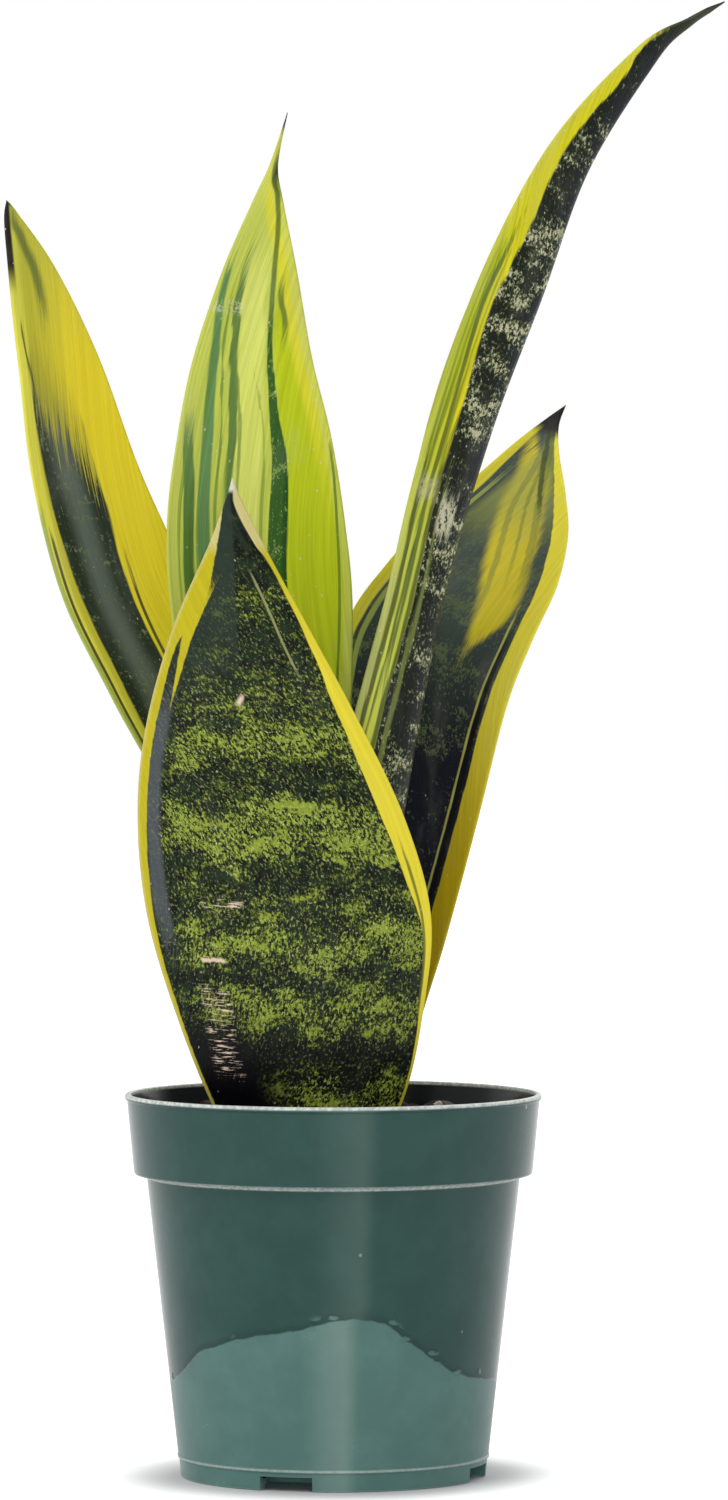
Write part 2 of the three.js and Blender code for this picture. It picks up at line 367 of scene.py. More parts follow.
deep = mix(ramp(mottle, 0.35, 0.7), paint(40, 77, 71), paint(46, 84, 78))
hazed = mix(ramp(mottle, 0.35, 0.7), paint(90, 129, 123), paint(98, 138, 132))
damp = ramp(below_line, -2.4, -0.1, 0.0, 0.5)
colour = mix(damp, deep, paint(26, 56, 50))
colour = mix(times(haze, 0.85), colour, hazed)
level = (1 / MM, 1 / MM, 0.0)
radius = node("ShaderNodeVectorMath", {0: place, 1: level}, operation="MULTIPLY").outputs[0]
radius = node("ShaderNodeVectorMath", {0: radius}, operation="LENGTH").outputs["Value"]
# The inside of the band above the soil is painted near black: painted shade inside the pot.
inner_radius = band_bottom_radius - 0.5 - band_bottom * band_draft / band_height
draft = scaled(height, band_draft / band_height, inner_radius)
inner_wall_shade = times(
    ramp(less(draft, radius), -0.1, 0.1),
    ramp(height, band_bottom + 0.4, band_bottom + 0.9),
    ramp(height, pot_height, pot_height - 0.6),
)
colour = mix(inner_wall_shade, colour, paint(26, 34, 36))
lip = ramp(height, pot_height - 1.1, pot_height - 0.55)
ledge = times(ramp(height, body_top - 0.5, body_top), ramp(height, band_bottom + 0.2, band_bottom - 0.5))
foot_line = times(
    ramp(height, foot_height - 0.55, foot_height - 0.2), ramp(height, foot_height + 0.4, foot_height),
)
foot_edge = ramp(height, 0.45, 0.1)
# A soft, broad, lighter strip down the front of the pot, stronger low down, is a painted highlight.
turned_to = scaled(haze, 0.08, less(azimuth, 0.08))
painted_highlight_strip = times(ramp(turned_to, -0.22, 0.08), ramp(turned_to, 0.17, 0.06), scaled(haze, 0.22, 0.12))
colour = mix(painted_highlight_strip, colour, paint(158, 180, 168))
# Pale marks on the lip, the ledge and the foot: edge wear, and partly a painted highlight along these edges.
worn_and_highlit = most(lip, times(ledge, 0.75), times(foot_line, 0.45), times(foot_edge, 0.2))
scuff = ramp(grain(place, 900, detail=2), 0.35, 0.65)
worn_and_highlit = times(worn_and_highlit, scaled(scuff, 0.35, 0.65))
colour = mix(worn_and_highlit, colour, paint(228, 233, 228))
flecks = node("ShaderNodeTexVoronoi", {"Vector": place, "Scale": 120.0}).outputs
pick = node("ShaderNodeSeparateColor", {"Color": flecks["Color"]}).outputs[0]
fleck = times(ramp(flecks["Distance"], 0.09, 0.05), ramp(pick, 0.8, 0.82))
colour = tinted(colour, fleck, 0.5, (190, 205, 195))
gloss = scaled(mottle, 0.08, scaled(haze, 0.12, 0.1))
relief = scaled(haze, 0.1, scaled(blisters, 0.5, times(grain(place, 420, detail=3), 0.02)))
finished(plastic, colour, most(gloss, times(worn_and_highlit, 0.5)), relief, 0.8)
plastic.inputs["Specular IOR Level"].default_value = 0.28
pot.data.materials.append(pot_plastic)
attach(pot, "root")
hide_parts("nursery_pot")

# ------------------------------------------------------------
# Potting soil
# The root ball: peat and fine bark held together by roots, moulded to the pot's inside, with a
# crumbled top a finger's breadth below the lip.
# ------------------------------------------------------------
soil_below_rim = 7.0
clearance = 0.35
soil_line = pot_height - soil_below_rim
soil_steps = 220
soil_rings = 110
outward = band_draft * (soil_line - band_bottom) / band_height
soil_top_radius = band_bottom_radius + outward - pot_wall - clearance


def crumb_height(x, y):
    """How far the crumbled top stands above the soil line at a place, in millimetres."""
    spot = Vector((x, y, 0))
    swell = math.sin(x * 0.11 + 0.8) * math.cos(y * 0.13 - 0.4)
    clods = noise.fractal(spot * 0.16, 0.8, 2.1, 4)
    grit = noise.fractal(spot * 0.8 + Vector((7, 3, 1)), 0.7, 2.0, 3)
    return 0.8 * swell + 1.5 * clods + 0.5 * grit


soil = turned(
    "soil",
    rounded(
        [
            (0, floor_top + clearance, 0),
            (body_bottom_radius - pot_wall - 1.5 - clearance, floor_top + clearance, 1.0),
            (body_bottom_radius - pot_wall - clearance, foot_height + pot_wall + clearance, 1.0),
            (body_top_radius - pot_wall - clearance, body_top + pot_wall + clearance, 1.0),
            (band_bottom_radius - pot_wall - clearance, band_bottom + pot_wall + clearance, 1.0),
            (soil_top_radius, soil_line, 0),
        ]
    )
    + [Vector((soil_top_radius * (1 - i / soil_rings), soil_line)) for i in range(1, soil_rings + 1)],
    soil_steps,
)
for point in soil.data.vertices:
    if abs(point.co.z / MM - soil_line) < 1e-3:
        x = point.co.x / MM
        y = point.co.y / MM
        point.co.z += crumb_height(x, y) * MM
smooth(soil, 60)

soil_mix, place, peat = new_material("soil_mix")
crumbs = node("ShaderNodeTexVoronoi", {"Vector": place, "Scale": 420.0}).outputs
fibres = grain(place, 500, detail=5, roughness=0.7)
damp = grain(place, 45, detail=2)
colour = mix(ramp(fibres, 0.3, 0.75), paint(20, 17, 17), paint(58, 48, 41))
colour = mix(ramp(damp, 0.45, 0.65), colour, paint(30, 26, 27))
lumps = scaled(crumbs["Distance"], -0.8, fibres)
finished(peat, colour, ramp(damp, 0.4, 0.7, 0.95, 0.75), lumps, 0.9)
soil.data.materials.append(soil_mix)
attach(soil, "root")
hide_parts("potting_soil")

# Loose matter on the surface: chips of bark, grains of perlite and the ends of fine roots.
wood_chip, place, bark = new_material("bark_chip")
rings = grain(place, 700, detail=4, roughness=0.7, stretch=(1, 0.25, 1))
patch = grain(place, 70, detail=1)
colour = mix(ramp(rings, 0.35, 0.7), paint(52, 38, 30), paint(104, 80, 58))
colour = mix(ramp(patch, 0.42, 0.62), colour, paint(62, 50, 42))
finished(bark, colour, ramp(rings, 0.3, 0.7, 0.95, 0.7), rings, 0.6)
perlite_grain, place, perlite = new_material("perlite_grain")
pores = node("ShaderNodeTexVoronoi", {"Vector": place, "Scale": 1800.0}).outputs["Distance"]
stain = grain(place, 260, detail=3)
colour = mix(ramp(stain, 0.5, 0.75), paint(226, 222, 210), paint(150, 138, 118))
finished(perlite, colour, ramp(stain, 0.3, 0.7, 0.7, 0.9), pores, 0.5)
fine_root, place, root_skin = new_material("fine_root")
bands = grain(place, 900, detail=2)
colour = mix(ramp(bands, 0.35, 0.65), paint(120, 96, 66), paint(178, 152, 112))
finished(root_skin, colour, ramp(bands, 0.3, 0.7, 0.8, 0.6))


def lump(mesh, centre, size, turn, roughness, key):
    """Adds one irregular lump to a bmesh: a ball pulled to a size, turned, and roughened by noise."""
    verts = bmesh.ops.create_icosphere(mesh, subdivisions=2, radius=1)["verts"]
    spin = turn.to_matrix()
    for point in verts:
        rough = 1 + roughness * noise.noise(point.co * 1.3 + Vector((key, 0, 0)))
        rough += 0.4 * roughness * noise.noise(point.co * 3.1 + Vector((0, key, 0)))
        shape = Vector([point.co[i] * size[i] * rough for i in range(3)])
        point.co = (spin @ shape + Vector(centre)) * MM


def scattered(name, number, seed, low_size, high_size, flat, roughness, sunk, keep_out=4.0):
    """Lumps strewn over the soil, in one mesh, each partly sunk in it."""
    chance = np.random.default_rng(seed)
    mesh = bmesh.new()
    for i in range(number):
        reach = (soil_top_radius - keep_out) * math.sqrt(chance.random())
        turn = chance.random() * 2 * math.pi
        x = reach * math.cos(turn)
        y = reach * math.sin(turn)
        size = low_size + (high_size - low_size) * chance.random() ** 2
        shape = (size, size * chance.uniform(0.5, 0.85), size * flat * chance.uniform(0.7, 1.2))
        tilt = Euler((chance.uniform(-0.35, 0.35), chance.uniform(-0.35, 0.35), chance.random() * 6.28))
        height = soil_line + crumb_height(x, y) + shape[2] * (1 - 2 * sunk)
        lump(mesh, (x, y, height), shape, tilt, roughness, i * 7.3 + seed)
    return placed(name, mesh)


crumbs_loose = scattered(
    "soil_crumbs", number=520, seed=3, low_size=0.7, high_size=2.6, flat=0.75, roughness=0.5, sunk=0.35
)
crumbs_loose.data.materials.append(soil_mix)
smooth(crumbs_loose, 50)
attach(crumbs_loose, "root")

bark_chips = scattered(
    "bark_chips", number=70, seed=11, low_size=1.6, high_size=4.6, flat=0.35, roughness=0.45, sunk=0.25,
    keep_out=6.0,
)
bark_chips.data.materials.append(wood_chip)
smooth(bark_chips, 40)
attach(bark_chips, "root")

perlite_grains = scattered(
    "perlite_grains", number=95, seed=23, low_size=0.6, high_size=1.9, flat=0.8, roughness=0.4, sunk=0.3
)
perlite_grains.data.materials.append(perlite_grain)
smooth(perlite_grains, 50)
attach(perlite_grains, "root")

root_count = 26
root_thickness = 0.28
root_reach = 46
root_limit = 36
root_step = 1.1
chance = np.random.default_rng(31)
root_curve = bpy.data.curves.new("fine_roots", "CURVE")
root_curve.dimensions = "3D"
root_curve.bevel_depth = root_thickness * MM
root_curve.bevel_resolution = 2
root_curve.use_fill_caps = True
for i in range(root_count):
    reach = root_reach * math.sqrt(chance.random())
    turn = chance.random() * 2 * math.pi
    x = reach * math.cos(turn)
    y = reach * math.sin(turn)
    heading = chance.random() * 2 * math.pi
    strand = root_curve.splines.new("POLY")
    steps = int(chance.integers(6, 14))
    strand.points.add(steps - 1)
    for j in range(steps):
        ends = abs(2 * j / (steps - 1) - 1)
        height = soil_line + crumb_height(x, y) + 0.35 - 1.2 * ends**3
        strand.points[j].co = (x * MM, y * MM, height * MM, 1)
        strand.points[j].radius = 1.1 - 0.5 * ends
        heading += chance.uniform(-0.55, 0.55)
        x = max(-root_limit, min(root_limit, x + root_step * math.cos(heading)))
        y = max(-root_limit, min(root_limit, y + root_step * math.sin(heading)))
root_draft = placed("fine_root_draft", root_curve)
bpy.context.view_layer.update()
root_mesh = bpy.data.meshes.new_from_object(root_draft.evaluated_get(bpy.context.evaluated_depsgraph_get()))
bpy.data.objects.remove(root_draft)
fine_roots = placed("fine_roots", root_mesh)
fine_roots.data.materials.clear()
fine_roots.data.materials.append(fine_root)
smooth(fine_roots, 60)
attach(fine_roots, "root")

# ------------------------------------------------------------
# Rhizome
# The creeping stem under the soil that all five leaves grow from: pale golden, ringed by the scars
# of old leaf sheaths, with one offshoot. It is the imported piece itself, given its skin.
# ------------------------------------------------------------
rhizome_skin, place, skin = new_material("rhizome_skin")
scars = node(
    "ShaderNodeTexWave",
    {"Vector": place, "Scale": 55.0, "Distortion": 3.0, "Detail": 3.0, "Detail Scale": 2.0},
    bands_direction="Y",
).outputs["Color"]
scars = node("ShaderNodeRGBToBW", {"Color": scars}).outputs[0]
bruise = grain(place, 80, detail=4)
colour = mix(ramp(scars, 0.55, 0.95), paint(206, 168, 98), paint(138, 98, 56))
colour = mix(ramp(bruise, 0.55, 0.75, 0.0, 0.6), colour, paint(112, 82, 52))
finished(skin, colour, ramp(bruise, 0.3, 0.7, 0.6, 0.8), scars, 0.5)
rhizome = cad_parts["rhizome"]
rhizome.data.materials.clear()
rhizome.data.materials.append(rhizome_skin)

# ------------------------------------------------------------
# Front leaf
# The broadest leaf, short and nearly black-green, cross-banded with lighter speckle, with a yellow
# margin and a dried tip. It grows straight from the rhizome's front end and shows its outer side.
# ------------------------------------------------------------
leaf_thickness = 2.6
leaf_edge = 0.9
across_steps = 44
span_steps = 24


def flowing(points, places):
    """Points on a smooth curve through the given ones, at places counted along the list."""
    given = np.array(points, float).reshape(len(points), -1)
    i = np.minimum(places.astype(int), len(given) - 2)
    t = (places - i)[:, None]
    a, b, c, d = (given[np.clip(i + k, 0, len(given) - 1)] for k in (-1, 0, 1, 2))
    bend = (2 * a - 5 * b + 4 * c - d) * t**2 + (3 * b - a - 3 * c + d) * t**3
    return 0.5 * (2 * b + (c - a) * t + bend)


def unit(vectors):
    return vectors / np.linalg.norm(vectors, axis=1, keepdims=True)


def blade(name, left, right, bow, fold, wave=0.35, seed=0):
    """A leaf between two edges, lists of points from base to tip with heights from the soil line.

    The bow is how far its middle stands out behind the line between the edges. Each point keeps its
    distances in millimetres from the left edge, from the soil line and from the right edge.
    """
    last = len(left) - 1
    places = np.linspace(0, last - 0.02, last * span_steps)
    a = flowing(left, places)
    b = flowing(right, places)
    middle = (a + b) / 2
    rise = unit(np.gradient(middle, axis=0))
    width = np.linalg.norm(b - a, axis=1)
    steady = np.minimum(np.arange(len(places)), int((last - 0.35) * span_steps))
    across = unit(b - a)[steady]
    outward = unit(np.cross(rise, across))
    depth = flowing(bow, places)[:, 0]
    along = places / last
    full = np.minimum(leaf_thickness * (1.9 - 1.7 * along + 0.35 * along**2), width * 0.8 + 0.3)
    edge = np.minimum(leaf_edge, full)
    half = width / 2
    steps = np.concatenate([[0], np.cumsum(np.linalg.norm(np.diff(middle, axis=0), axis=1))])
    ground = np.interp(0, middle[:, 2], steps)
    length = steps - ground
    stops = np.sin(np.linspace(-0.5, 0.5, across_steps + 1) * math.pi)
    phase = seed * 1.7
    fading = np.clip(np.minimum(length / 40, (length[-1] - length) / 30), 0, 1)
    faces = []
    for side in (-1, 1):
        rows = []
        for v in stops:
            bend = depth * (1 - abs(v) ** fold)
            slope = -depth * fold * abs(v) ** (fold - 1) * np.sign(v) / half if v else 0 * half
            normal = unit(outward - across * slope[:, None])
            thickness = edge + (full - edge) * (1 - v * v)
            rounding = np.minimum(np.maximum(edge * 0.55, 1e-3), half)
            beyond = np.clip((half * abs(v) - (half - rounding)) / rounding, 0, 1)
            thickness = thickness * np.sqrt(1 - beyond**2)
            ripple = np.sin(length / 17 + phase + 2.2 * v) + 0.6 * np.sin(length / 9.1 + 2 * phase - 1.4 * v)
            ripple = ripple * wave * fading * (0.25 + 0.75 * v * v)
            point = middle + across * (half * v)[:, None] + outward * (bend + ripple)[:, None]
            rows.append(point + normal * (side * thickness / 2)[:, None])
        faces.append(np.array(rows))
    around = np.concatenate([faces[0], faces[1][1:-1][::-1]])
    shares = np.concatenate([stops, stops[1:-1][::-1]])
    points = around.transpose(1, 0, 2).reshape(-1, 3)
    surface = (faces[0] + faces[1]) / 2
    gaps = np.linalg.norm(np.diff(surface, axis=0), axis=2)
    arc = np.concatenate([np.zeros((1, len(places))), np.cumsum(gaps, axis=0)])
    arc = np.concatenate([arc, arc[1:-1][::-1]]).T
    from_left = arc.ravel()
    from_right = (arc[:, across_steps : across_steps + 1] - arc).ravel()
    lengths = np.repeat(length, len(shares))
    inner = np.tile(np.arange(len(shares)) <= across_steps, len(places)).astype(float)
    tip = np.array(left[-1], float)
    base = around[:, 0].mean(axis=0)
    points = np.vstack([points, base, tip])
    points[:, 2] += soil_line
    count = len(shares)
    skin = []
    for i in range(len(places) - 1):
        for j in range(count):
            k = (j + 1) % count
            skin.append((i * count + j, i * count + k, (i + 1) * count + k, (i + 1) * count + j))
    top = (len(places) - 1) * count
    for j in range(count):
        k = (j + 1) % count
        skin.append((len(points) - 2, k, j))
        skin.append((len(points) - 1, top + j, top + k))
    data = bpy.data.meshes.new(name)
    data.from_pydata((points * MM).tolist(), [], skin)
    ends = [[half[0], length[0], half[0]], [0, length[-1] + 0.5, 0]]
    marks = np.vstack([np.column_stack([from_left, lengths, from_right]), ends])
    data.attributes.new("blade", "FLOAT_VECTOR", "POINT").data.foreach_set("vector", marks.ravel())
    sides = np.concatenate([inner, [0, 0]])
    data.attributes.new("inner", "FLOAT", "POINT").data.foreach_set("value", sides)
    data.shade_smooth()
    return placed(name, data)


front_leaf = blade(
    "front_leaf",
    left=[
        (1, -19, -28), (17.5, -17, 5), (23.5, -20, 32), (25, -23, 55), (18, -26, 80),
        (5.5, -28, 106), (-6.5, -31, 128.5), (-17.5, -34, 149), (-23.5, -36, 161), (-25.5, -37, 166),
    ],
    right=[
        (-14, -19, -28), (-31, -17, 5), (-41.5, -19, 32), (-48, -21, 56), (-50, -24, 81),
        (-47.5, -27, 104), (-40.5, -30.5, 128.5), (-31.5, -34, 149), (-27, -36, 161), (-25.5, -37, 166),
    ],
    bow=[3, 5.5, 7, 7.5, 7.5, 6, 3.5, 1.5, 0.4, 0],
    fold=2,
    seed=1,
)
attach(front_leaf, "root")
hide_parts("leaf_front")

# A streak is a band of colour that runs up the blade beside a line, with ragged sides and ends.
leaf_streak, given, made = new_group(
    "leaf streak", ["Offset", "Half width", "Along", "Start", "End", "Fade", "Ragged", "Soft"], ["Mask"]
)
waver = grain(given["Place"], detail=3, stretch=(0.7, 0.035, 1))
thread = grain(given["Place"], detail=2, stretch=(2.6, 0.1, 1))
waver = times(less(waver, 0.5), given["Ragged"])
sideways = scaled(waver, 3.0, calc("ABSOLUTE", given["Offset"]))
outer = plus(given["Half width"], given["Soft"])
inside = less(given["Half width"], given["Soft"])
body = ramp(sideways, outer, inside)
shifted = scaled(times(less(thread, 0.5), given["Fade"]), 4.0, given["Along"])
low = ramp(shifted, less(given["Start"], given["Fade"]), plus(given["Start"], given["Fade"]))
high = ramp(shifted, plus(given["End"], given["Fade"]), less(given["End"], given["Fade"]))
join(times(body, low, high), made["Mask"])

# Banding is the lighter speckle that crosses a snake plant's leaf, clumped in zigzag bands.
leaf_banding, given, made = new_group("leaf banding", ["Strength"], ["Mask", "Bright"])
speckle = grain(given["Place"], detail=2.5, roughness=0.75, stretch=(1.15, 0.7, 1))
clump = grain(given["Place"], detail=3, roughness=0.6, stretch=(0.13, 0.22, 1))
blend = scaled(clump, 0.4, times(speckle, 0.6))
cover = scaled(given["Strength"], -0.2, 0.59)
pits = grain(given["Place"], detail=2, roughness=0.6, stretch=(1.35, 0.85, 1))
pits = most(ramp(pits, 0.43, 0.49), ramp(clump, 0.57, 0.66, 0.0, 0.85))
broad = ramp(blend, cover, plus(cover, 0.05))
join(times(broad, pits), made["Mask"])
bright_cover = plus(cover, 0.05)
bright = ramp(blend, bright_cover, plus(bright_cover, 0.08))
join(times(bright, pits), made["Bright"])

# Marks are the small pale flecks and wiped dust that every leaf picks up.
leaf_marks, given, made = new_group("leaf marks", ["Number"], ["Flecks", "Dust", "Ridges", "Veins"])
stretched = node("ShaderNodeMapping", {"Vector": given["Place"], "Scale": (0.75, 0.42, 1)}).outputs[0]
cells = node("ShaderNodeTexVoronoi", {"Vector": stretched, "Scale": 1.0, "Randomness": 1.0}).outputs
pick = node("ShaderNodeSeparateColor", {"Color": cells["Color"]}).outputs[0]
chosen = ramp(pick, given["Number"], less(given["Number"], 0.02))
size = scaled(pick, 0.35, 0.14)
fleck = ramp(cells["Distance"], size, times(size, 0.6))
join(times(fleck, chosen), made["Flecks"])
join(grain(given["Place"], detail=5, roughness=0.6, stretch=(0.09, 0.03, 1)), made["Dust"])
join(grain(given["Place"], detail=4, roughness=0.6, stretch=(1.5, 0.05, 1)), made["Ridges"])
veins = grain(given["Place"], detail=4, roughness=0.65, stretch=(0.9, 0.012, 1))
join(ramp(veins, 0.35, 0.65), made["Veins"])


def leaf_coat(name, length, seed):
    """A leaf's material and its places: millimetres from the left edge, up the blade, from the right."""
    material, marks, wax = new_material(name, "blade")
    parts = node("ShaderNodeSeparateXYZ", {"Vector": marks}).outputs
    face = node("ShaderNodeAttribute", tree=material.node_tree, attribute_name="inner").outputs["Fac"]
    depth = scaled(face, 60.0, seed * 13.0)
    place = node("ShaderNodeCombineXYZ", {"X": parts["X"], "Y": parts["Y"], "Z": depth}).outputs[0]
    zigzag = grain(place, detail=3, stretch=(0.09, 0.03, 1))
    wavy = scaled(less(zigzag, 0.5), 26.0, parts["Y"])
    leaf = {"left": parts["X"], "along": parts["Y"], "right": parts["Z"]}
    leaf.update(place=place, wavy=wavy, length=length)
    return material, wax, leaf


def drawn(leaf, points, reach=40.0, way="along"):
    """A value read up the blade from (millimetres up the blade, value) points."""
    share = calc("DIVIDE", leaf[way], leaf["length"], clamp=True)
    first = [(0, points[0][1] / reach)] if points[0][0] > 0 else []
    last = [(1, points[-1][1] / reach)] if points[-1][0] < leaf["length"] else []
    places = [(max(0, min(1, up / leaf["length"])), value / reach) for up, value in points]
    return times(curve(share, first + places + last), reach)


def beside(leaf, edge, points, reach=40.0):
    """How far a place is from a line that runs up the blade at given distances from one edge."""
    return less(leaf[edge], drawn(leaf, points, reach))


def streak(leaf, line, half_width, start=-40.0, end=400.0, fade=5.0, ragged=0.4, soft=0.25):
    """The mask of a streak beside a line, which is a distance or an edge with points to be beside."""
    offset = beside(leaf, *line) if isinstance(line, tuple) else line
    return use_group(
        leaf_streak, Offset=offset, Half_width=half_width, Along=leaf["along"], Start=start, End=end,
        Fade=fade, Ragged=ragged, Soft=soft, Place=leaf["place"],
    )["Mask"]


def striped(leaf, colour, line, half_width, start, end, fade, ragged, soft, share, shade):
    """A colour with one streak of a shade laid over it."""
    return tinted(colour, streak(leaf, line, half_width, start, end, fade, ragged, soft), share, shade)


def waxed(wax, leaf, colour, roughness=0.36, flecks=0.05, veins=0.12, dust=0.12):
    """Flecks, dust, a waxy shine and fine ridges over a leaf's colour."""
    marks = use_group(leaf_marks, Place=leaf["place"], Number=flecks)
    veined = ramp(marks["Veins"], 0.0, 1.0, veins, 0.0, "LINEAR")
    colour = mix(veined, colour, paint(104, 118, 40), "MULTIPLY")
    colour = mix(times(marks["Flecks"], 0.75), colour, paint(214, 214, 196))
    dusty = ramp(marks["Dust"], 0.5, 0.75, 0.0, dust)
    colour = mix(dusty, colour, paint(176, 180, 168))
    shine = ramp(marks["Dust"], 0.35, 0.7, roughness - 0.06, roughness + 0.12)
    finished(wax, colour, shine, marks["Ridges"], 0.3)
    wax.inputs["Specular IOR Level"].default_value = 0.12
    wax.inputs["Coat Weight"].default_value = 0.03
    wax.inputs["Coat Roughness"].default_value = 0.2


front_coat, wax, leaf = leaf_coat("front_leaf_coat", 169.0, 1)
strength = drawn(
    leaf,
    [
        (0, 0.6), (5, 0.8), (12, 0.75), (15, 0.2), (22, 0.25), (26, 0.75), (34, 0.82), (38, 0.4),
        (42, 0.45), (46, 0.88), (51, 0.85), (55, 0.5), (60, 0.6), (65, 0.35), (69, 0.5), (72, 0.88),
        (81, 0.92), (86, 0.45), (92, 0.4), (96, 0.8), (103, 0.85), (108, 0.55), (118, 0.6), (122, 0.4),
        (132, 0.35), (136, 0.6), (139, 0.35), (148, 0.15), (169, 0.0),
    ],
    reach=1.0, way="wavy",
)
strength = times(strength, ramp(leaf["right"], 4.5, 12, 0.45, 1.0))
bands = use_group(leaf_banding, Place=leaf["place"], Strength=strength)
mottled = grain(leaf["place"], detail=4, roughness=0.7, stretch=(0.5, 0.25, 1))
colour = mix(ramp(mottled, 0.4, 0.62), paint(10, 15, 14), paint(36, 52, 32))
colour = mix(ramp(leaf["along"], 40, 0), colour, paint(8, 10, 12))
colour = tinted(colour, bands["Mask"], 0.9, (76, 90, 30))
colour = mix(bands["Bright"], colour, paint(156, 172, 62))
dots = grain(leaf["place"], detail=2, roughness=0.6, stretch=(1.5, 1.0, 1))
dots = times(ramp(dots, 0.585, 0.63), times(strength, 0.95))
colour = mix(dots, colour, paint(194, 206, 122))
black = times(ramp(leaf["along"], 36, 14), ramp(leaf["right"], 28, 14))
colour = mix(black, colour, paint(6, 6, 11))
# One half of the leaf near the tip is painted lighter slate: a painted sheen where the fold turns to the
# light.
painted_slate_sheen = times(ramp(less(leaf["left"], leaf["right"]), 0.5, 2.0), ramp(leaf["along"], 108, 135))
colour = tinted(colour, painted_slate_sheen, 0.75, (50, 64, 54))
# Each stripe gives its line, half width, start, end, fade, raggedness, softness, share and shade.
for stripe in (
    # painted sheen
    (("right", [(40, 5.0), (115, 4.6)]), 2.0, 48, 112, 8, 0.6, 0.9, 0.7, (98, 104, 110)),
    # pale thread
    (("left", [(118, 9.5), (144, 7.3)]), 0.3, 118, 144, 3, 0.2, 0.15, 0.8, (168, 170, 110)),
):
    colour = striped(leaf, colour, *stripe)
side_width = drawn(
    leaf,
    [
        (0, 1.2), (43, 1.8), (64, 2.5), (84, 3.0), (111, 3.0), (127, 3.0), (131, 6.0), (137, 6.1),
        (147.6, 3.4), (157.7, 0.9), (162, 0.0), (169, 0.0),
    ],
)
left_margin = streak(leaf, leaf["right"], side_width, ragged=0.25, soft=0.2)
inner_streak = streak(
    leaf, ("right", [(112, 6.0), (119, 5.7), (127, 5.0), (134, 4.8)]),
    drawn(leaf, [(110, 0.1), (119, 0.7), (127, 1.3), (134, 1.8)]), 111, 140, 3, 0.25, 0.2,
)
right_width = drawn(
    leaf,
    [
        (0, 0.9), (30, 1.4), (50, 2.6), (66, 5.4), (74, 5.9), (84.8, 6.5), (95.7, 6.0), (103, 5.2),
        (111, 4.6), (119, 3.0), (127, 2.2), (137, 1.6), (147.6, 1.5), (152, 2.6), (161, 2.6),
        (165, 1.2), (167, 0.0),
    ],
)
right_margin = streak(leaf, leaf["left"], right_width, ragged=0.3, soft=0.2)
margin = most(left_margin, inner_streak, right_margin)
# The margins turn pale towards the tip and along the outermost edge: partly a painted highlight on the leaf's
# thick edge.
pale = most(ramp(leaf["along"], 148, 153), ramp(leaf["right"], 1.3, 0.4, 0.0, 0.6))
yellow = mix(ramp(leaf["right"], 8, 40), paint(208, 194, 34), paint(250, 232, 66))
yellow = tinted(yellow, pale, 0.75, (228, 216, 160))
colour = mix(margin, colour, yellow)
# Short pale dashes and dots low on the leaf are painted glints.
glint_noise = grain(leaf["place"], detail=3, roughness=0.7, stretch=(0.17, 1.7, 1))
glint_dashes = streak(leaf, ("right", [(14, 9.5), (36, 13.5)]), 3.6, 14, 36, 2, 0.6, 1.0)
glint_dashes = most(glint_dashes, streak(leaf, ("right", [(50, 21), (60, 21)]), 5.5, 57, 60, 1, 0.6, 1.0))
glint_dashes = times(glint_dashes, ramp(glint_noise, 0.55, 0.585))
dash = streak(leaf, ("right", [(40, 15.8), (46, 15.8)]), 3.1, 43.2, 44.2, 0.3, 0.2, 0.4)
glint_dot = streak(leaf, ("right", [(110, 23.8), (114, 23.8)]), 0.6, 111, 113.5, 0.8, 0.6, 0.5)
glint_dashes = most(glint_dashes, dash, glint_dot)
colour = mix(glint_dashes, colour, paint(246, 218, 198))
colour = striped(
    leaf, colour, ("left", [(28, 1.6), (50, 2.4), (70, 3.6)]), 0.35, 30, 72, 4, 0.2, 0.15, 0.8,
    (96, 104, 48),
)
dried = ramp(leaf["along"], 164.5, 166)
colour = mix(dried, colour, paint(232, 224, 200))
waxed(wax, leaf, colour, roughness=0.34, flecks=0.07, dust=0.04)
front_leaf.data.materials.append(front_coat)

# ------------------------------------------------------------
# Left leaf
# A narrow leaf that leans out to the left and tapers to a hooked, dried spike. Most of it is golden,
# with a long grey-green heart below. It grows from the offshoot's end.
# ------------------------------------------------------------
left_leaf = blade(
    "left_leaf",
    left=[
        (-22, 14, -28), (-27, 11, 15), (-33.5, 11, 49), (-44, 12, 83), (-58, 14, 110), (-71, 17, 136),
        (-79, 22, 167), (-82.5, 28, 195), (-85.5, 35, 220.5), (-87, 40, 235), (-86.5, 42, 240.5),
    ],
    right=[
        (-13, 16, -28), (-12, 15, 15), (-16, 17, 51), (-22, 19, 87), (-31, 22, 116), (-38.5, 26, 141),
        (-51, 31, 169), (-61.5, 36, 197.5), (-73.5, 40, 222.5), (-83.5, 41.5, 237), (-86.5, 42, 240.5),
    ],
    bow=[2, 3.5, 4.5, 5, 5, 5, 4.5, 3.5, 2, 0.6, 0],
    fold=1.8,
    seed=2,
)
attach(left_leaf, "root")
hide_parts("leaf_left")

